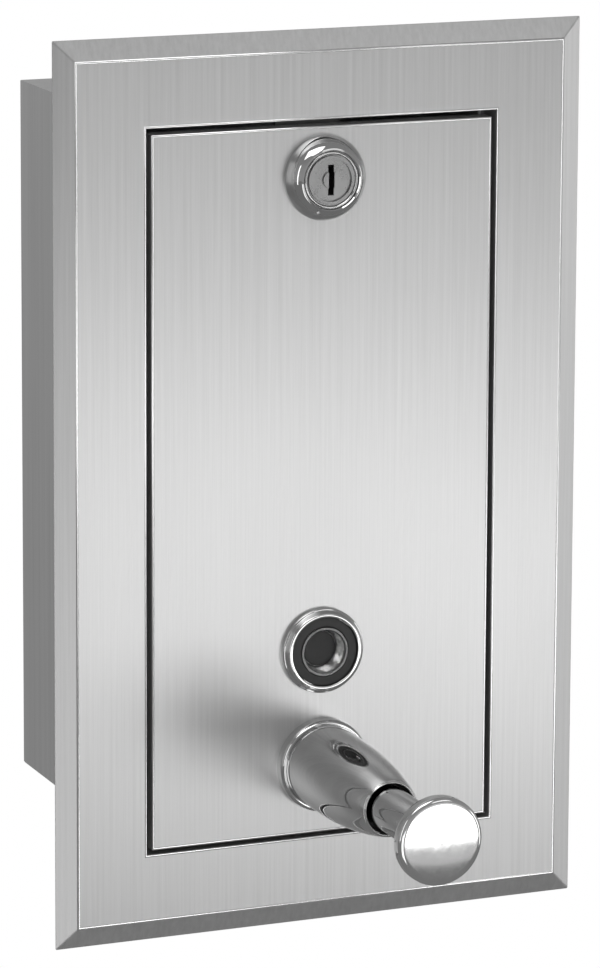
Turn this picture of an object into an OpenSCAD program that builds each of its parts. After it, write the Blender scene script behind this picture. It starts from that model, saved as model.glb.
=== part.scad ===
// Recessed soap dispenser, mm. +Z up, +Y into the wall, front faces -Y.
// Origin: centre of the flange on the wall plane.

/* [Flange and box] */
// Width of the flange beside the opening
border_w = 24.95; // [20:0.05:35]
// Height of the flange above and below the opening
border_h = 23.7; // [20:0.1:35]
// Width of the sloping edge of the flange
bevel_w = 5.9; // [4:0.1:9]
// Height of the flange face above the wall
face_proud = 2.2; // [1.8:0.1:3]
// Sheet thickness of flange and door
sheet = 0.9; // [0.7:0.1:1.1]
// Depth of the turned-back edge of the opening
return_d = 14; // [11:0.5:18]
// Room between the tank and the back of the box
tank_back = 26.7; // [8:0.1:40]
// Sheet thickness of the box
box_sheet = 0.8; // [0.6:0.1:1]
// Radius of the side fixing holes
fix_r = 2.2; // [1.6:0.1:3]
// Spacing of the side fixing holes
fix_pitch = 120; // [100:1:140]

/* [Door] */
// Gap between door and opening at each side
gap_side = 1.5; // [1.2:0.1:2]
// Gap above the door
gap_top = 1.8; // [1.4:0.1:2.4]
// Gap below the door
gap_bottom = 1.2; // [1.1:0.1:1.6]
// Depth of the door's turned-back edges
door_return = 5; // [3:0.5:6]
// Radius of the hinge pins
pin_r = 1.5; // [1.2:0.1:1.7]
// Running clearance of the hinge pins
pin_clear = 0.05; // [0.03:0.01:0.08]

/* [Lock] */
// Drop of the lock axis below the top of the opening
lock_drop = 15.3; // [15:0.1:16.5]
// Base radius of the lock bezel
lock_r = 11.25; // [10.5:0.25:12]
// Height of the lock bezel above the door
lock_proud = 5.7; // [4:0.1:7]
// Radius of the lock plug
plug_r = 7.7; // [7:0.1:8]
// Running clearance of the plug and the plunger
run_clear = 0.06; // [0.03:0.01:0.09]

/* [Sight glass] */
// Rise of the sight glass axis above the foot of the opening
sight_rise = 51; // [47:0.1:60]
// Outer radius of the sight bezel
sight_r = 11.5; // [10.5:0.25:13]
// Height of the sight bezel above the door
sight_proud = 3; // [2:0.1:4]

/* [Tank] */
// Width of the soap tank
tank_w = 76; // [60:1:110]
// Depth of the soap tank
tank_d = 67.3; // [60:0.1:100]
// Height of the soap tank
tank_h = 148; // [130:1:200]
// Wall of the soap tank
tank_wall = 2; // [1.5:0.1:2]
// Room between the tank and the opening at each side
tank_side = 11.3; // [11:0.1:16]
// Room below the tank
tank_foot = 6.3; // [6:0.1:9]
// Room above the tank for the lock
lock_bay = 38.3; // [37:0.1:60]
// Inner radius of the filler collar
filler_r = 13; // [10:0.5:16]

/* [Spout and plunger] */
// Rise of the spout axis above the foot of the opening
spout_rise = 20; // [19:0.1:22]
// Radius of the spout's base ring
spout_base_r = 12.5; // [12:0.25:14]
// Length of the spout from the door face
spout_len = 46.8; // [42:0.2:50]
// Radius of the spout tip
spout_tip_r = 7.3; // [7.3:0.1:8.5]
// Radius of the plunger rod
rod_r = 5.8; // [5:0.1:5.9]
// Radius of the push knob
knob_r = 11.5; // [10:0.25:13]
// Distance of the knob face from the door face
knob_reach = 79; // [76:0.5:84]
// Travel of the plunger
stroke = 15; // [10:0.5:16]

/* [Hidden] */
$fn = 64;
fy = -face_proud;
dy = fy + sheet;
washer_t = 2;
tank_y = dy + washer_t;
opening_w = tank_w + 2 * tank_side;
opening_h = tank_foot + tank_h + lock_bay;
flange_w = opening_w + 2 * border_w;
flange_h = opening_h + 2 * border_h;
box_depth = tank_y + tank_d + tank_back;
ow = opening_w / 2;
oh = opening_h / 2;
biw = ow - box_sheet;
bih = oh - box_sheet;
box_front = 8;
door_w = opening_w - 2 * gap_side;
door_zb = -oh + gap_bottom;
door_zt = oh - gap_top;
hinge_y = fy + 4;
hinge_z = door_zb + 10;
eye_r = 2.8;
ear_x0 = tank_w / 2 + 3.7;
ear_x1 = ear_x0 + 1.5;
brk_x0 = ear_x1 + 0.3;
brk_x1 = brk_x0 + 1.5;
stay_x0 = -tank_w / 2 - 6.2;
stay_x1 = stay_x0 + 1.2;
stay_r = 60;
open_deg = 35;
stud_deg = 80;
stud_r = 2;
stud_y = hinge_y + stay_r * cos(stud_deg);
stud_z = hinge_z + stay_r * sin(stud_deg);
fix_y = 55;
barrel_r = 9;
barrel_end = 10.3;
plug_bore = plug_r + run_clear;
cam_y = barrel_end + 0.4;
cam_t = 1.6;
cam_len = 13;
tank_z = -oh + tank_foot;
lock_z = oh - lock_drop;
sight_z = -oh + sight_rise;
spout_z = -oh + spout_rise;
tube_r = 8.2;
lens_r = 6.5;
valve_r = 8;
valve_bore = 6.5;
valve_back = 46;
rod_back = 18;
tip_y = fy - spout_len;
knob_y = fy - knob_reach;
port_y = -28;
spring_r = 4.6;
wire_r = 0.45;
spring_turns = 7;

module box(x0, x1, y0, y1, z0, z1) translate([x0, y0, z0]) cube([x1 - x0, y1 - y0, z1 - z0]);
module ycyl(r, y0, y1, z, x = 0) translate([x, y0, z]) rotate([-90, 0, 0]) cylinder(r = r, h = y1 - y0);
module xcyl(r, x0, x1, y, z) translate([x0, y, z]) rotate([0, 90, 0]) cylinder(r = r, h = x1 - x0);
module yrev(pts, z) translate([0, 0, z]) rotate([-90, 0, 0]) rotate_extrude() polygon(pts);
module ring(r0, r1, y0, y1, z) yrev([[r0, y0], [r1, y0], [r1, y1], [r0, y1]], z);

// Raised plate with four mitred slopes, base on the plane y = at
module raised(w, h, b, p, at) translate([0, at, 0]) intersection() {
  translate([0, 0, -h / 2]) linear_extrude(height = h)
    polygon([[-w / 2, 0], [w / 2, 0], [w / 2 - b, -p], [-w / 2 + b, -p]]);
  translate([-w / 2, 0, 0]) rotate([0, 90, 0]) rotate([0, 0, 90]) linear_extrude(height = w)
    polygon([[0, -h / 2], [0, h / 2], [-p, h / 2 - b], [-p, -h / 2 + b]]);
}

module face_flange() color("silver") difference() {
  union() {
    difference() {
      raised(flange_w, flange_h, bevel_w, face_proud, 0);
      raised(flange_w, flange_h, bevel_w, face_proud, sheet);
    }
    box(-ow - sheet, ow + sheet, dy - 0.3, return_d, -oh - sheet, oh + sheet);
  }
  box(-ow, ow, fy - 1, return_d + 1, -oh, oh);
}

module recess_box() color("darkgray") difference() {
  box(-ow, ow, box_front, box_depth, -oh, oh);
  box(-biw, biw, box_front - 1, box_depth + 1, -bih, bih);
  for (z = [-fix_pitch / 2, fix_pitch / 2]) xcyl(fix_r, -ow - 1, ow + 1, fix_y, z);
}

module box_back() color("darkgray") box(-ow, ow, box_depth, box_depth + box_sheet, -oh, oh);

module lock_keeper() color("gray") union() {
  box(-9, 9, 9, 24, bih - 0.8, bih);
  box(-9, 9, 9, 10.2, bih - 4.3, bih - 0.4);
}

module bracket() difference() {
  union() {
    xcyl(eye_r, brk_x0, brk_x1, hinge_y, hinge_z);
    box(brk_x0, brk_x1, hinge_y, 20, hinge_z - eye_r, hinge_z + eye_r);
    box(brk_x0, brk_x1, 12, 20, -bih, hinge_z);
    box(brk_x0, biw - 0.3, 12, 20, -bih, -bih + 1.2);
  }
  xcyl(pin_r, brk_x0 - 1, brk_x1 + 1, hinge_y, hinge_z);
}

module hinge_bracket_right() color("gray") bracket();
module hinge_bracket_left() color("gray") mirror([1, 0, 0]) bracket();

module pin() union() {
  xcyl(pin_r, ear_x0 - 0.5, brk_x1 + 0.3, hinge_y, hinge_z);
  xcyl(eye_r - 0.2, brk_x1, brk_x1 + 1, hinge_y, hinge_z);
}

module hinge_pin_right() color("silver") pin();
module hinge_pin_left() color("silver") mirror([1, 0, 0]) pin();

module stop_stud() color("silver") union() {
  xcyl(stud_r, -biw, stay_x1 + 1.1, stud_y, stud_z);
  xcyl(stud_r + 1.4, stay_x1 + 0.6, stay_x1 + 1.8, stud_y, stud_z);
}

module door_panel() color("silver") difference() {
  union() {
    box(-door_w / 2, door_w / 2, fy, dy, door_zb, door_zt);
    box(-door_w / 2, -door_w / 2 + sheet, fy, fy + door_return, door_zb, door_zt);
    box(door_w / 2 - sheet, door_w / 2, fy, fy + door_return, door_zb, door_zt);
    box(-door_w / 2, door_w / 2, fy, fy + door_return, door_zt - sheet, door_zt);
  }
  ycyl(barrel_r + 0.2, fy - 1, dy + 1, lock_z);
  ycyl(tube_r + 0.2, fy - 1, dy + 1, sight_z);
  ycyl(valve_r + 0.2, fy - 1, dy + 1, spout_z);
}

module ear() difference() {
  union() {
    xcyl(eye_r, ear_x0, ear_x1, hinge_y, hinge_z);
    box(ear_x0, ear_x1, dy, hinge_y + eye_r, hinge_z, hinge_z + 18);
    box(tank_w / 2 + 0.5, ear_x1, dy, dy + 1.2, hinge_z + 4, hinge_z + 18);
  }
  xcyl(pin_r + pin_clear, ear_x0 - 1, ear_x1 + 1, hinge_y, hinge_z);
}

module hinge_ear_right() color("gray") ear();
module hinge_ear_left() color("gray") mirror([1, 0, 0]) ear();

// Flat sector about the hinge line, in the y-z plane, angle from +Y to +Z
module sector(r0, r1, a0, a1, x0, x1) translate([x0, hinge_y, hinge_z]) rotate([90, 0, 90])
  linear_extrude(height = x1 - x0) difference() {
    intersection() {
      circle(r = r1, $fn = 128);
      polygon([[0, 0], [2 * r1 * cos(a0), 2 * r1 * sin(a0)],
        [3 * r1 * cos((a0 + a1) / 2), 3 * r1 * sin((a0 + a1) / 2)],
        [2 * r1 * cos(a1), 2 * r1 * sin(a1)]]);
    }
    circle(r = r0, $fn = 128);
  }

module stay_quadrant() color("gray") difference() {
  union() {
    difference() {
      sector(stay_r - 6, stay_r + 6, stud_deg - open_deg - 6, 96, stay_x0, stay_x1);
      box(stay_x0 - 1, stay_x1 + 1, dy - 20, dy, -oh, oh);
    }
    box(stay_x0, -tank_w / 2 - 0.5, dy, dy + 1.2, hinge_z + stay_r - 5, hinge_z + stay_r + 5);
  }
  sector(stay_r - stud_r - 0.3, stay_r + stud_r + 0.3, stud_deg - open_deg, stud_deg, stay_x0 - 1, stay_x1 + 1);
  for (a = [stud_deg - open_deg, stud_deg])
    xcyl(stud_r + 0.3, stay_x0 - 1, stay_x1 + 1, hinge_y + stay_r * cos(a), hinge_z + stay_r * sin(a));
}

module lock_bezel() color("silver") yrev([[plug_bore, fy], [lock_r, fy], [lock_r, fy - 1.2],
  [lock_r - 0.5, fy - 0.42 * lock_proud], [lock_r - 1.3, fy - 0.66 * lock_proud],
  [lock_r - 2.2, fy - 0.86 * lock_proud], [lock_r - 2.9, fy - lock_proud],
  [plug_bore, fy - lock_proud]], lock_z);

module lock_barrel() color("silver") ring(plug_bore, barrel_r, fy, barrel_end, lock_z);

module lock_nut() color("gray") difference() {
  ycyl(11.6, dy, dy + 4, lock_z, $fn = 6);
  ycyl(barrel_r + 0.05, dy - 1, dy + 5, lock_z);
}

module lock_plug() color("gray") difference() {
  union() {
    ycyl(plug_r, fy - lock_proud + 0.9, cam_y, lock_z);
    ring(plug_r - 2.1, plug_r - 1.3, fy - lock_proud + 0.3, fy - lock_proud + 1.2, lock_z);
    ycyl(2.3, fy - lock_proud + 0.4, fy - lock_proud + 1.2, lock_z);
  }
  box(-0.8, 0.8, fy - lock_proud - 1, 5, lock_z - 4, lock_z + 4);
  ycyl(2.05, 6, cam_y + 1, lock_z);
}

module lock_cam() color("gray") difference() {
  union() {
    ycyl(6.5, cam_y, cam_y + cam_t, lock_z);
    box(0, cam_len, cam_y, cam_y + cam_t, lock_z - 4.5, lock_z + 4.5);
  }
  ycyl(2.1, cam_y - 1, cam_y + cam_t + 1, lock_z);
}

module cam_screw() color("silver") difference() {
  union() {
    ycyl(2, 6.2, cam_y + cam_t, lock_z);
    ycyl(4, cam_y + cam_t, cam_y + cam_t + 2.2, lock_z);
  }
  box(-0.5, 0.5, cam_y + cam_t + 1.2, cam_y + cam_t + 3, lock_z - 5, lock_z + 5);
}

module sight_bezel() color("silver") yrev([[tube_r - 1, fy - 1], [9.3, fy - 1],
  [9.3, fy - sight_proud], [sight_r - 1, fy - sight_proud], [sight_r - 0.3, fy - sight_proud + 0.4],
  [sight_r, fy - sight_proud + 1.1], [sight_r, fy], [tube_r, fy], [tube_r, tank_y + tank_wall + 4],
  [tube_r - 1, tank_y + tank_wall + 4]], sight_z);

module sight_gasket() color("black") ring(lens_r + 0.1, 9.2, fy - sight_proud + 0.7, fy - 1, sight_z);

module sight_lens() color("lightblue") difference() {
  union() {
    ycyl(lens_r, fy - sight_proud + 0.4, fy, sight_z);
    ycyl(tube_r - 1.05, fy - 0.9, tank_y + tank_wall + 3.8, sight_z);
  }
  yrev([[0, fy - 5], [lens_r - 0.5, fy - 5], [lens_r - 0.5, fy - sight_proud + 0.4],
    [lens_r - 1.7, fy - sight_proud + 4.8], [0, fy - sight_proud + 4.8]], sight_z);
}

module sight_nut() color("gray") difference() {
  ycyl(11.4, tank_y + tank_wall, tank_y + tank_wall + 3.5, sight_z, $fn = 6);
  ycyl(tube_r + 0.05, tank_y, tank_y + tank_wall + 5, sight_z);
}

module sight_washer() color("black") ring(tube_r + 0.1, 12, dy, tank_y, sight_z);

module soap_tank() color("white") difference() {
  box(-tank_w / 2, tank_w / 2, tank_y, tank_y + tank_d, tank_z, tank_z + tank_h);
  box(-tank_w / 2 + tank_wall, tank_w / 2 - tank_wall, tank_y + tank_wall,
    tank_y + tank_d - tank_wall, tank_z + tank_wall, tank_z + tank_h + 1);
  ycyl(tube_r + 0.2, tank_y - 1, tank_y + tank_wall + 1, sight_z);
  ycyl(valve_r + 0.2, tank_y - 1, tank_y + tank_wall + 1, spout_z);
}

module tank_cover() color("white") translate([0, tank_y + tank_d / 2, tank_z + tank_h]) difference() {
  union() {
    translate([-tank_w / 2, -tank_d / 2, 0]) cube([tank_w, tank_d, 2]);
    cylinder(r = filler_r + 2, h = 8);
    cylinder(r = filler_r + 3.2, h = 3);
  }
  translate([0, 0, -1]) cylinder(r = filler_r, h = 12);
}

// Point on the outside of the spout, t = 0 behind the base ring to t = 1 at the tip
function spout_at(t) = [spout_base_r - 1.25 - (spout_base_r - 1.25 - spout_tip_r) * pow(t, 3),
  fy - 3.6 - (spout_len - 4) * t];

module spout() color("silver") difference() {
  yrev([[0, fy], [spout_base_r, fy], [spout_base_r, fy - 2.6], [spout_base_r - 0.5, fy - 3.4],
    each [for (i = [0:12]) spout_at(i / 12)], [spout_tip_r - 0.3, tip_y], [0, tip_y]], spout_z);
  ycyl(valve_r + 0.05, tip_y + 14, fy + 1, spout_z);
  ycyl(spout_tip_r - 0.6, tip_y - 1, tip_y + 15, spout_z);
  translate([0, port_y, spout_z - 20]) cylinder(r = 3, h = 20);
}

module rod_bush() color("dimgray") ring(rod_r + run_clear, spout_tip_r - 0.65, tip_y + 6, tip_y + 13, spout_z);

module valve_body() color("dimgray") difference() {
  ycyl(valve_r, fy - 6, valve_back, spout_z);
  ycyl(valve_bore, fy - 7, valve_back - 2, spout_z);
  ycyl(1.25, valve_back - 3, valve_back + 1, spout_z);
  for (a = [0:90:270]) ycyl(0.8, valve_back - 3, valve_back + 1, spout_z + 2.7 * sin(a), 2.7 * cos(a));
}

module valve_washer() color("black") ring(valve_r + 0.1, 11.5, dy, tank_y, spout_z);

module valve_nut() color("gray") difference() {
  ycyl(10.1, tank_y + tank_wall, tank_y + tank_wall + 4.5, spout_z, $fn = 6);
  ycyl(valve_r + 0.05, tank_y, tank_y + tank_wall + 6, spout_z);
}

module inlet_valve() color("black") union() {
  ycyl(3.7, valve_back - 3, valve_back - 2.1, spout_z);
  ycyl(1.1, valve_back - 2.5, valve_back + 1.5, spout_z);
}

module push_knob() color("silver") difference() {
  yrev([[0, knob_y], [knob_r * 0.35, knob_y + 0.08], [knob_r * 0.7, knob_y + 0.35],
    [knob_r - 0.9, knob_y + 0.75], [knob_r - 0.25, knob_y + 1.1], [knob_r, knob_y + 1.7],
    [knob_r, knob_y + 4.0], [knob_r - 0.6, knob_y + 4.6], [rod_r + 2.2, knob_y + 6.2],
    [rod_r + 0.9, knob_y + 8.6], [0, knob_y + 8.6]], spout_z);
  ycyl(rod_r + 0.05, knob_y + 4.2, knob_y + 9, spout_z);
}

module plunger_rod() color("silver") difference() {
  ycyl(rod_r, knob_y + 4.25, rod_back, spout_z);
  ycyl(2.4, port_y - 3, rod_back + 1, spout_z);
  translate([0, port_y, spout_z - 9]) cylinder(r = 2, h = 9);
  ring(rod_r - 1.2, rod_r + 2, rod_back - 6, rod_back - 3, spout_z);
}

module piston_seal() color("black") ring(rod_r - 1.15, valve_bore - run_clear, rod_back - 5.9,
  rod_back - 3.1, spout_z);

// Wire swept along a round helix from the rod end to the end of the valve body
function helix_at(t, n, len) = [spring_r * cos(360 * t * n), rod_back + 0.6 + len * t,
  spout_z + spring_r * sin(360 * t * n)];
function wire_ring(t, n, len, k) = [for (j = [0:k - 1]) let (a = 360 * t * n, b = 360 * j / k)
  helix_at(t, n, len) + wire_r * [cos(a) * cos(b), sin(b), sin(a) * cos(b)]];

module return_spring() color("silver") {
  steps = 8 * spring_turns;
  k = 6;
  len = valve_back - 2.6 - rod_back - 0.6;
  pts = [for (i = [0:steps]) each wire_ring(i / steps, spring_turns, len, k)];
  faces = concat(
    [for (i = [0:steps - 1], j = [0:k - 1]) [i * k + j, i * k + (j + 1) % k,
      (i + 1) * k + (j + 1) % k]],
    [for (i = [0:steps - 1], j = [0:k - 1]) [i * k + j, (i + 1) * k + (j + 1) % k, (i + 1) * k + j]],
    [[for (j = [k - 1:-1:0]) j]], [[for (j = [0:k - 1]) steps * k + j]]);
  polyhedron(points = pts, faces = faces, convexity = 8);
}

face_flange();
recess_box();
box_back();
lock_keeper();
hinge_bracket_left();
hinge_bracket_right();
hinge_pin_left();
hinge_pin_right();
stop_stud();
door_panel();
hinge_ear_left();
hinge_ear_right();
stay_quadrant();
lock_bezel();
lock_barrel();
lock_nut();
lock_plug();
lock_cam();
cam_screw();
sight_bezel();
sight_gasket();
sight_lens();
sight_nut();
sight_washer();
soap_tank();
tank_cover();
spout();
rod_bush();
valve_body();
valve_washer();
valve_nut();
inlet_valve();
push_knob();
plunger_rod();
piston_seal();
return_spring();
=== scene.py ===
import bpy
import bmesh
import math
from mathutils import Euler, Matrix, Vector


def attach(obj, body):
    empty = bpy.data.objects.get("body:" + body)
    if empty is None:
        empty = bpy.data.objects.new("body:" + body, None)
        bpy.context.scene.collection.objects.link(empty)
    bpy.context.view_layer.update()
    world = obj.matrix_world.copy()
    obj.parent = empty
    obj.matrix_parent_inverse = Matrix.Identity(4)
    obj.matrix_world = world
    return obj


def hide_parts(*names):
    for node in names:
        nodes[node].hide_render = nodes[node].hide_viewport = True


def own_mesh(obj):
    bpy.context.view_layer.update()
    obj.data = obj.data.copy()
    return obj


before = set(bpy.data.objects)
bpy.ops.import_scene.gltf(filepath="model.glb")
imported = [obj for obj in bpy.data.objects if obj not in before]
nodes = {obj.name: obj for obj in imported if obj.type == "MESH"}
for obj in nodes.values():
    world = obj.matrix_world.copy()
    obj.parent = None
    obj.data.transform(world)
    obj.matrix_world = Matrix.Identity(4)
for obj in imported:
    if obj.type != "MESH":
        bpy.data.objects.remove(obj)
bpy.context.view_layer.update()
mm = 0.001
face = -2.2  # front of the door and the flange, in mm
lockZ, sightZ, spoutZ = 81.0, -45.3, -76.3
sharpAngle = math.radians(32)
print("frame loaded:", len(nodes), "nodes")


class Val:
    def __init__(self, mat, socket):
        self.mat = mat
        self.socket = socket

    def op(self, kind, other, flip=False):
        pair = (other, self) if flip else (self, other)
        return self.mat.node("ShaderNodeMath", {"operation": kind}, {0: pair[0], 1: pair[1]})

    def __add__(self, other):
        return self.op("ADD", other)

    def __radd__(self, other):
        return self.op("ADD", other, True)

    def __mul__(self, other):
        return self.op("MULTIPLY", other)

    def __rmul__(self, other):
        return self.op("MULTIPLY", other, True)


class Shade:
    def __init__(self, tree):
        self.tree = tree

    def link(self, target, value):
        if isinstance(value, Val):
            self.tree.links.new(value.socket, target)
        else:
            target.default_value = value

    def node(self, kind, settings=None, sockets=None, out=0):
        n = self.tree.nodes.new(kind)
        for key, value in (settings or {}).items():
            setattr(n, key, value)
        for key, value in (sockets or {}).items():
            self.link(n.inputs[key], value)
        return Val(self, n.outputs[out])

    def grey(self, value, tint=(1.0, 1.0, 1.0)):
        return self.node("ShaderNodeCombineColor", {}, {"Red": value * tint[0], "Green": value * tint[1],
                                                        "Blue": value * tint[2]})


class Mat(Shade):
    def __init__(self, name, **settings):
        self.material = bpy.data.materials.new(name)
        self.material.use_nodes = True
        super().__init__(self.material.node_tree)
        self.shader = self.tree.nodes["Principled BSDF"]
        for key, value in settings.items():
            self.shader.inputs[key.replace("_", " ")].default_value = value

    def noise(self, scale, size, detail=3.0, rough=0.55):
        place = self.node("ShaderNodeTexCoord", out="Object")
        spread = self.node("ShaderNodeMapping", {}, {"Vector": place, "Scale": scale})
        return self.node("ShaderNodeTexNoise", {}, {"Vector": spread, "Scale": size, "Detail": detail,
                                                    "Roughness": rough})

    def ramp(self, value, low, high):
        return self.node("ShaderNodeMapRange", {}, {"Value": value, "From Min": 0.25, "From Max": 0.75,
                                                    "To Min": low, "To Max": high})

    def wire(self, name, value):
        self.link(self.shader.inputs[name], value)

    def bump(self, height, strength, distance):
        self.wire("Normal", self.node("ShaderNodeBump", {}, {"Height": height, "Strength": strength,
                                                             "Distance": distance}))


def brushed(name, low, high, rough, grain, metallic=1.0):
    m = Mat(name, Metallic=metallic)
    fine = m.noise((1, 1, 0.012), grain, 4.0, 0.7)  # streaks run up the sheet
    cloud = m.noise((1, 1, 0.6), 14.0, 2.0)
    m.wire("Base Color", m.grey(m.ramp(fine * 0.75 + cloud * 0.25, low, high)))
    m.wire("Roughness", m.ramp(fine * 0.6 + cloud * 0.4, rough - 0.05, rough + 0.06))
    m.bump(fine, 0.10, 0.00006)
    return m.material


def polished(name, tone, rough):
    m = Mat(name, Metallic=1.0)
    smear = m.noise((1, 1, 1), 160.0, 3.0)
    hair = m.noise((1, 0.04, 1), 900.0, 2.0)
    m.wire("Base Color", m.grey(m.ramp(smear, tone - 0.03, tone + 0.03)))
    m.wire("Roughness", m.ramp(smear * 0.5 + hair * 0.5, rough * 0.6, rough * 1.5))
    return m.material


def turned(name, tone, tint, rough):
    m = Mat(name, Metallic=1.0)
    lines = m.noise((1, 6, 1), 420.0, 3.0)
    stain = m.noise((1, 1, 1), 70.0, 3.0)
    m.wire("Base Color", m.grey(m.ramp(stain, tone - 0.08, tone + 0.06), tint))
    m.wire("Roughness", m.ramp(lines, rough - 0.06, rough + 0.08))
    m.bump(lines, 0.12, 0.00008)
    return m.material


def moulded(name, tone, tint, rough, size):
    m = Mat(name, Metallic=0.0)
    cloud = m.noise((1, 1, 1), 22.0, 3.0)
    pore = m.noise((1, 1, 1), size, 2.0)
    m.wire("Base Color", m.grey(m.ramp(cloud, tone * 0.92, tone * 1.05), tint))
    m.wire("Roughness", m.ramp(pore, rough - 0.06, rough + 0.08))
    m.bump(pore, 0.14, 0.0001)
    return m.material


def clearCup(name):
    m = Mat(name, Metallic=0.0, IOR=1.49, Transmission_Weight=0.9)
    haze = m.noise((1, 1, 1), 240.0, 3.0)
    m.wire("Base Color", m.grey(m.ramp(haze, 0.80, 0.90)))
    m.wire("Roughness", m.ramp(haze, 0.03, 0.12))
    return m.material


steelFace = brushed("satinSteel", low=0.43, high=0.57, rough=0.33, grain=900.0, metallic=0.78)
steelBox = brushed("boxSteel", low=0.78, high=0.92, rough=0.44, grain=600.0)
steelParts = brushed("plainSteel", low=0.42, high=0.54, rough=0.40, grain=800.0)
chrome = polished("chromePlate", tone=0.60, rough=0.06)
# paler copy of the chrome for the push knob: its extra brightness is painted light
litKnobChrome = polished("litKnobChrome", tone=0.70, rough=0.09)
# much brighter copy of the steel, used only for the beads that paint edge highlights
highlightSteel = polished("highlightSteel", tone=0.90, rough=0.16)
# darker, rougher copy of the chrome for the lock plug: the satin roughness is its own finish, the low tone is
# painted shade
shadedPlugChrome = polished("plugChromeShaded", tone=0.30, rough=0.30)
brassy = turned("lockMetal", tone=0.62, tint=(1.0, 0.94, 0.80), rough=0.34)
wire = turned("springWire", tone=0.58, tint=(1.0, 1.0, 1.0), rough=0.30)
tankWhite = moulded("tankPolyethylene", tone=0.80, tint=(1.0, 1.0, 0.97), rough=0.46, size=700.0)
valveBlack = moulded("valvePlastic", tone=0.05, tint=(1.0, 1.0, 1.0), rough=0.42, size=900.0)
rubber = moulded("blackRubber", tone=0.020, tint=(1.0, 1.0, 1.0), rough=0.50, size=1100.0)
acrylic = clearCup("clearAcrylic")
print("materials made")


def dress(name, material, bevel=0.0, segments=2):
    obj = nodes[name]
    if not obj.material_slots:
        obj.data.materials.append(material)
    for s in obj.material_slots:
        s.material = material
    if bevel:
        weld = obj.modifiers.new("weld", "WELD")
        weld.merge_threshold = 0.00001
        edge = obj.modifiers.new("edge", "BEVEL")
        edge.width = bevel * mm
        edge.segments = segments
        edge.limit_method = "ANGLE"
        edge.angle_limit = math.radians(28)


dress("face_flange", steelFace, 0.35, 3)
dress("recess_box", steelBox)
dress("box_back", steelBox, 0.25)
for name in ("lock_keeper", "hinge_bracket_left", "hinge_bracket_right", "hinge_pin_left", "hinge_pin_right",
             "stop_stud", "hinge_ear_left", "hinge_ear_right", "stay_quadrant"):
    dress(name, steelParts, 0.15)
for name in ("lock_barrel", "lock_nut", "lock_cam", "cam_screw", "sight_nut", "valve_nut"):
    dress(name, brassy, 0.15)
dress("soap_tank", tankWhite, 0.8, 3)
dress("tank_cover", tankWhite, 0.6, 3)
dress("valve_body", valveBlack, 0.15)
for name in ("sight_washer", "valve_washer", "inlet_valve", "piston_seal"):
    dress(name, rubber, 0.15)
dress("sight_lens", acrylic)
dress("plunger_rod", chrome, 0.2)
print("frame nodes dressed")


def asPiece(name, bm, material, body, replace=(), smooth=True):
    bmesh.ops.recalc_face_normals(bm, faces=bm.faces)
    mesh = bpy.data.meshes.new(name)
    bm.to_mesh(mesh)
    bm.free()
    if smooth:
        mesh.polygons.foreach_set("use_smooth", [True] * len(mesh.polygons))
    mesh.materials.append(material)
    obj = bpy.data.objects.new(name, mesh)
    bpy.context.collection.objects.link(obj)
    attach(obj, body)
    if replace:
        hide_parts(*replace)
    return obj


def turnAngles(count):
    return [2 * math.pi * k / count for k in range(count)]


def band(bm, a, b):
    n = len(a)
    return [bm.faces.new([a[k], a[(k + 1) % n], b[(k + 1) % n], b[k]]) for k in range(n)]


def smoothLine(points, steps=8):
    # points are (r, y) in mm; a third value of 1 keeps a corner
    runs, run = [], []
    for p in points:
        run.append(p)
        if len(p) > 2 and len(run) > 1:
            runs.append(run)
            run = [p]
    if len(run) > 1:
        runs.append(run)
    out = []
    for run in runs:
        pts = [Vector(p[:2]) for p in run]
        for i in range(len(pts) - 1):
            a = pts[i - 1] if i else pts[i] * 2 - pts[i + 1]
            b, c = pts[i], pts[i + 1]
            d = pts[i + 2] if i + 2 < len(pts) else c * 2 - b
            n = steps if len(pts) > 2 else 1
            for k in range(n):
                t = k / n
                out.append(0.5 * (2 * b + (c - a) * t + (2 * a - 5 * b + 4 * c - d) * t * t
                                  + (3 * b - a - 3 * c + d) * t ** 3))
    out.append(Vector(points[-1][:2]))
    return out


def lathe(name, profile, z, body, material, replace=(), turns=96, closed=True):
    bm = bmesh.new()
    rings = []
    for p in smoothLine(profile):
        r = max(p.x, 0.0)
        if r < 1e-6:  # a point on the axis
            rings.append([bm.verts.new((0, p.y * mm, z * mm))])
            continue
        rings.append([bm.verts.new((r * math.cos(a) * mm, p.y * mm, (z + r * math.sin(a)) * mm))
                      for a in turnAngles(turns)])
    pairs = list(zip(rings, rings[1:]))
    if closed:
        pairs.append((rings[-1], rings[0]))
    for a, b in pairs:
        for k in range(turns):
            j = (k + 1) % turns
            quad = [a[k % len(a)], a[j % len(a)], b[j % len(b)], b[k % len(b)]]
            quad = list(dict.fromkeys(quad))
            if len(quad) > 2:
                bm.faces.new(quad)
    bmesh.ops.remove_doubles(bm, verts=bm.verts, dist=1e-7)
    obj = asPiece(name, bm, material, body, replace)
    obj.data.set_sharp_from_angle(angle=sharpAngle)
    return obj


def bead(name, halfW, halfH, y, radius, body, mid=0.0):
    # fine bright line that follows a rectangle; its pale steel paints an edge highlight
    bm = bmesh.new()
    loops = []
    for sx, sz in ((-1, -1), (1, -1), (1, 1), (-1, 1)):
        loop = []
        for a in turnAngles(8):
            r = radius * math.cos(a)
            loop.append(bm.verts.new((sx * (halfW + r) * mm, (y + radius * math.sin(a)) * mm,
                                      (mid + sz * (halfH + r)) * mm)))
        loops.append(loop)
    for a, b in zip(loops, loops[1:] + loops[:1]):
        band(bm, a, b)
    asPiece(name, bm, highlightSteel, body)


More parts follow.
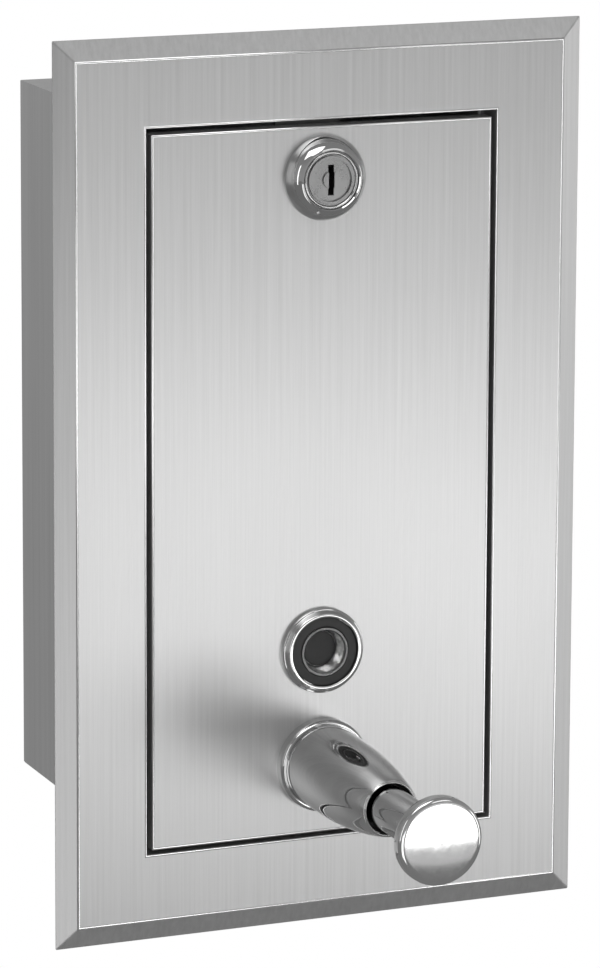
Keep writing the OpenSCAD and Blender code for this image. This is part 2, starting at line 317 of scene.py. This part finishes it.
def panel(name, settings, holes, body, material, replace):
    bm = bmesh.new()
    front, sheet, radius = settings["front"], settings["sheet"], settings["round"]
    back = front + settings["depth"]

    def rect(inset, y):
        left, right = inset - settings["halfW"], settings["halfW"] - inset
        foot, top = settings["foot"] + inset, settings["top"] - inset
        return [bm.verts.new((x * mm, y * mm, z * mm))
                for x, z in ((left, foot), (right, foot), (right, top), (left, top))]

    def circle(r, z, y):
        return [bm.verts.new((r * math.cos(a) * mm, y * mm, (z + r * math.sin(a)) * mm))
                for a in turnAngles(64)]

    def fill(loops):
        edges = []
        for loop in loops:
            for a, b in zip(loop, loop[1:] + loop[:1]):
                edges.append(bm.edges.get((a, b)) or bm.edges.new((a, b)))
        bmesh.ops.triangle_fill(bm, edges=edges, use_beauty=True, use_dissolve=False)

    steps = 5  # round of the front edge
    loops = []
    for i in range(steps + 1):
        a = math.pi / 2 * i / steps
        loops.append(rect(radius * (1 - math.sin(a)), front + radius * (1 - math.cos(a))))
    loops += [rect(0, back), rect(sheet, back), rect(sheet, front + sheet)]
    rounded = []
    for i, (a, b) in enumerate(zip(loops, loops[1:])):
        made = band(bm, a, b)
        rounded += made if i < steps else []
    fronts = [circle(r, z, front) for r, z in holes]
    backs = [circle(r, z, front + sheet) for r, z in holes]
    for a, b in zip(fronts, backs):
        band(bm, a, b)
    fill([loops[0]] + fronts)
    fill([loops[-1]] + backs)
    for f in rounded:
        f.smooth = True
    asPiece(name, bm, material, body, replace, smooth=False)


# Door sheet with its three holes, and the bright bead lines round it that paint edge highlights
door = {"halfW": 47.8, "foot": -95.1, "top": 94.5, "front": face, "depth": 5.0, "sheet": 0.9, "round": 0.7}
doorHoles = [(9.2, lockZ), (8.4, sightZ), (8.2, spoutZ)]
panel("doorSkin", door, doorHoles, "door", steelFace, ["door_panel"])

flange = {"halfW": 74.25, "halfH": 120.0, "bevel": 5.9}
opening = {"halfW": 49.3, "halfH": 96.3}
inset = {"door": 0.32, "opening": 0.30}
# these three beads paint highlight lines along the flange bevel, the door edge and the opening lip
bead("bevelLine", flange["halfW"] - flange["bevel"], flange["halfH"] - flange["bevel"], face + 0.12, 0.38,
     "housing")
bead("doorLine", door["halfW"] - inset["door"], (door["top"] - door["foot"]) / 2 - inset["door"], face + 0.30,
     0.36, "door", (door["top"] + door["foot"]) / 2)
bead("openingLine", opening["halfW"] + inset["opening"], opening["halfH"] + inset["opening"], face + 0.24, 0.34,
     "housing")
print("door made")

# Lock: domed bezel, plug face with a raised ring
bezel = {"base": 11.25, "bore": 7.76, "proud": 5.7}
bezelTop = face - bezel["proud"]
lathe("lockBezel", [(bezel["bore"], face, 1), (bezel["base"], face, 1), (bezel["base"], face - 1.0),
                    (bezel["base"] - 0.25, face - 1.9), (bezel["base"] - 0.8, face - 3.3),
                    (bezel["base"] - 1.7, face - 4.7), (bezel["base"] - 2.7, face - 5.5),
                    (bezel["bore"] + 0.25, bezelTop, 1), (bezel["bore"], bezelTop + 0.25, 1)],
      lockZ, "door", chrome, ["lock_bezel"])
dress("lock_plug", shadedPlugChrome, 0.12)
plugFace = bezelTop + 0.9
lathe("plugRing", [(6.75, plugFace + 0.05, 1), (6.8, plugFace - 0.35), (7.1, plugFace - 0.6),
                   (7.45, plugFace - 0.45), (7.6, plugFace + 0.05, 1)],
      lockZ, "lock", chrome)
print("lock made")

# Sight glass: polished ring on a sleeve, black gasket, and a black disc behind the lens that paints the shade
# inside the tank as a dark centre
ring = {"out": 11.5, "in": 9.3, "proud": 3.0, "seat": 1.0, "sleeve": 8.2, "bore": 7.2, "end": 6.7}
seat = face - ring["seat"]
lathe("sightRing", [(ring["bore"], seat, 1), (ring["in"], seat, 1), (ring["in"], face - 2.7),
                    (ring["in"] + 0.35, face - ring["proud"]), (ring["in"] + 0.95, face - 2.9),
                    (10.7, face - 2.2), (10.95, face - 1.75), (11.35, face - 1.5), (ring["out"], seat),
                    (ring["out"], face, 1), (ring["sleeve"], face, 1), (ring["sleeve"], ring["end"], 1),
                    (ring["bore"], ring["end"], 1)],
      sightZ, "door", chrome, ["sight_bezel"])
gasket = {"in": 6.6, "out": 9.2}
lathe("sightGasket", [(gasket["in"], seat, 1), (gasket["in"], face - 2.0), (6.9, face - 2.35),
                      (7.9, face - 2.3), (9.0, face - 2.2), (gasket["out"], face - 2.0), (gasket["out"], seat, 1)],
      sightZ, "door", rubber, ["sight_gasket"])
# black disc behind the lens: painted shade standing in for the dark inside of the tank
shadeDisc = {"front": face + 1.45, "back": face + 1.75}
lathe("sightShadeDisc", [(0, shadeDisc["front"], 1), (4.2, shadeDisc["front"]), (4.7, face + 1.6, 1),
                     (4.6, shadeDisc["back"], 1), (0, shadeDisc["back"], 1)],
      sightZ, "door", rubber, closed=False)
print("sight glass made")


def drill(obj, settings):
    bm = bmesh.new()
    bmesh.ops.create_cone(bm, cap_ends=True, segments=48, radius1=settings["radius"] * mm,
                          radius2=settings["radius"] * mm, depth=settings["deep"] * mm,
                          matrix=Matrix.Translation((0, settings["y"] * mm, settings["z"] * mm)))
    mesh = bpy.data.meshes.new("outletDrill")
    bm.to_mesh(mesh)
    bm.free()
    bit = bpy.data.objects.new("outletDrill", mesh)
    bpy.context.collection.objects.link(bit)
    cut = obj.modifiers.new("outlet", "BOOLEAN")
    cut.operation = "DIFFERENCE"
    cut.solver = "EXACT"
    cut.object = bit
    bpy.context.view_layer.update()
    drilled = bpy.data.meshes.new_from_object(obj.evaluated_get(bpy.context.evaluated_depsgraph_get()))
    drilled.set_sharp_from_angle(angle=sharpAngle)
    obj.modifiers.remove(cut)
    obj.data = drilled
    bpy.data.objects.remove(bit)


# Spout: base ring, bullet body, lip round a deep tip, soap outlet below
spout = {"long": 46.8, "base": 12.5, "bore": 8.05, "mouth": 6.7, "mouthDeep": 14.0}
tip = face - spout["long"]
mouthEnd = tip + spout["mouthDeep"]
spoutPiece = lathe("spoutShell", [(spout["bore"], face, 1), (spout["base"], face, 1),
                                  (spout["base"], face - 2.2), (12.35, face - 3.0), (11.9, face - 3.55),
                                  (11.35, face - 3.6, 1), (11.25, face - 3.9), (11.22, face - 9),
                                  (11.15, face - 16), (10.9, face - 23), (10.35, face - 30), (9.45, face - 37),
                                  (8.35, face - 43), (7.62, face - 46), (7.3, tip + 0.35), (7.0, tip),
                                  (spout["mouth"], tip + 0.3, 1), (spout["mouth"], mouthEnd, 1),
                                  (spout["bore"], mouthEnd, 1)],
                   spoutZ, "door", chrome, ["spout"], turns=128)
outlet = {"radius": 3.0, "y": -28.0, "z": spoutZ - 10.0, "deep": 6.0}
drill(spoutPiece, outlet)

bush = {"in": 5.9, "out": 6.65, "front": tip + 5.6, "back": tip + 13}
lathe("rodBushRing", [(bush["in"], bush["front"], 1), (bush["out"], bush["front"], 1),
                      (bush["out"], bush["back"], 1), (bush["in"], bush["back"], 1)],
      spoutZ, "door", rubber, ["rod_bush"])

knob = {"reach": 79.0, "radius": 11.5, "neck": 6.7, "socket": 5.85, "floor": 4.2, "long": 8.6}
knobFace = face - knob["reach"]
knobFloor = knobFace + knob["floor"]
knobEnd = knobFace + knob["long"]
lathe("pushKnob", [(0, knobFace), (3.0, knobFace + 0.03), (6.0, knobFace + 0.12), (8.8, knobFace + 0.27),
                   (10.3, knobFace + 0.42), (11.05, knobFace + 0.75), (11.42, knobFace + 1.25),
                   (knob["radius"], knobFace + 1.9), (knob["radius"], knobFace + 3.6), (11.2, knobFace + 4.3),
                   (10.4, knobFace + 4.8), (8.8, knobFace + 5.7), (7.4, knobFace + 7.2),
                   (knob["neck"], knobEnd, 1), (knob["socket"], knobEnd, 1), (knob["socket"], knobFloor, 1),
                   (0, knobFloor, 1)],
      spoutZ, "plunger", litKnobChrome, ["push_knob"], turns=128, closed=False)


def coil(name, settings, body, material, replace):
    bm = bmesh.new()
    count = settings["turns"] * 24
    rings = []
    for i in range(count + 1):
        t = i / count
        a = 2 * math.pi * settings["turns"] * t
        y = settings["start"] + (settings["end"] - settings["start"]) * t
        loop = []
        for b in turnAngles(10):
            r = settings["radius"] + settings["wire"] * math.cos(b)
            loop.append(bm.verts.new((r * math.cos(a) * mm, (y + settings["wire"] * math.sin(b)) * mm,
                                      (spoutZ + r * math.sin(a)) * mm)))
        rings.append(loop)
    for a, b in zip(rings, rings[1:]):
        band(bm, a, b)
    bm.faces.new(rings[0])
    bm.faces.new(rings[-1])
    return asPiece(name, bm, material, body, replace)


# Return spring, a wire coil on the spout's axis
spring = {"turns": 7, "start": 18.6, "end": 43.4, "radius": 4.6, "wire": 0.45}
coilPiece = coil("springCoil", spring, "door", wire, ["return_spring"])
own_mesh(coilPiece)
print("spout and knob made")


# Floor that only lights and reflections see
ground = {"z": -0.6, "side": 4.0, "near": -4.0, "far": 6.0, "glossy": 0.22}
mesh = bpy.data.meshes.new("floor")
mesh.from_pydata([(x, y, ground["z"]) for x, y in
                  ((-ground["side"], ground["near"]), (ground["side"], ground["near"]),
                   (ground["side"], ground["far"]), (-ground["side"], ground["far"]))], [], [(0, 1, 2, 3)])
floor = bpy.data.objects.new("floor", mesh)
bpy.context.collection.objects.link(floor)
pale = Mat("paleFloor", Roughness=0.9)
pale.wire("Base Color", pale.grey(pale.ramp(pale.noise((1, 1, 1), 3.0), 0.78, 0.82)))
mirrored = pale.node("ShaderNodeLightPath", out="Is Glossy Ray")
dim = pale.node("ShaderNodeEmission", {}, {"Color": (1, 1, 1, 1), "Strength": ground["glossy"]})
lit = pale.node("ShaderNodeMixShader", {}, {0: mirrored, 1: Val(pale, pale.shader.outputs[0]), 2: dim})
pale.tree.links.new(lit.socket, pale.tree.nodes["Material Output"].inputs["Surface"])
mesh.materials.append(pale.material)
floor.visible_camera = False  # the white world shows in its place

# World: white to the camera, a grey room with a dim ceiling to everything else
world = bpy.data.worlds.new("studio")
bpy.context.scene.world = world
world.use_nodes = True
sky = Shade(world.node_tree)
spot = sky.node("ShaderNodeTexCoord", out="Generated")
height = sky.node("ShaderNodeSeparateXYZ", {}, {0: spot}, out="Z")


def smoothStep(a, b, low, high):
    return sky.node("ShaderNodeMapRange", {"interpolation_type": "SMOOTHSTEP"},
                    {"Value": height, "From Min": a, "From Max": b, "To Min": low, "To Max": high})


tone = sky.grey(smoothStep(-0.75, -0.2, 0.24, 0.36) * smoothStep(0.05, 0.6, 1.0, 0.80))
seen = sky.node("ShaderNodeLightPath", out="Is Camera Ray")
room = sky.node("ShaderNodeBackground", {}, {"Color": tone, "Strength": 1.0})
white = sky.node("ShaderNodeBackground", {}, {"Color": (1, 1, 1, 1), "Strength": 1.0})
both = sky.node("ShaderNodeMixShader", {}, {0: seen, 1: room, 2: white})
sky.tree.links.new(both.socket, sky.tree.nodes["World Output"].inputs["Surface"])


def pane(name, settings):
    data = bpy.data.lights.new(name, "AREA")
    data.shape = "RECTANGLE"
    data.size, data.size_y = settings["size"]
    data.energy = settings["power"]
    obj = bpy.data.objects.new(name, data)
    bpy.context.collection.objects.link(obj)
    obj.location = settings["place"]
    obj.visible_camera = False
    towards = Vector(settings["aim"]) - Vector(settings["place"])
    obj.rotation_euler = towards.to_track_quat("-Z", "Y").to_euler()


panes = {
    "keyPane": {"size": (0.46, 0.15), "place": (0.29, -0.68, -0.20), "aim": (0, 0, -0.02), "power": 0.61},
    "backPane": {"size": (0.9, 0.8), "place": (0.56, -1.35, -0.33), "aim": (0, 0, -0.05), "power": 0.95},
    "highPane": {"size": (0.5, 0.3), "place": (0.45, -0.95, 0.55), "aim": (0, 0, 0.1), "power": 0.6},
    "frontPane": {"size": (0.5, 0.6), "place": (-0.30, -0.95, -0.42), "aim": (0, 0, -0.08), "power": 1.4},
    "rightPane": {"size": (0.4, 0.9), "place": (1.3, -0.65, -0.25), "aim": (0, 0, 0), "power": 1.95},
    "topPane": {"size": (0.9, 0.6), "place": (-0.3, -0.5, 1.0), "aim": (0, 0, 0), "power": 4.5},
    "leftPane": {"size": (0.2, 0.9), "place": (-1.1, -0.5, 0.2), "aim": (0, 0, 0), "power": 1.2},
}
for name, settings in panes.items():
    pane(name, settings)
print("stage made")

# Camera at the photograph's angle
view = {"place": (-0.49354, -1.18033, 0.28368), "turn": (80.1459, -0.2489, -22.4123), "lens": 185.0639,
        "shift": (0.0, -0.241736)}
data = bpy.data.cameras.new("camera")
data.sensor_fit = "AUTO"
data.sensor_width = 36.0
data.lens = view["lens"]
data.shift_x, data.shift_y = view["shift"]
data.clip_start, data.clip_end = 0.05, 50.0
camera = bpy.data.objects.new("camera", data)
bpy.context.collection.objects.link(camera)
turn = Euler([math.radians(a) for a in view["turn"]], "XYZ").to_matrix().to_4x4()
camera.matrix_world = Matrix.Translation(view["place"]) @ turn
bpy.context.scene.camera = camera
bpy.context.scene.view_settings.view_transform = "Standard"
print("camera set")
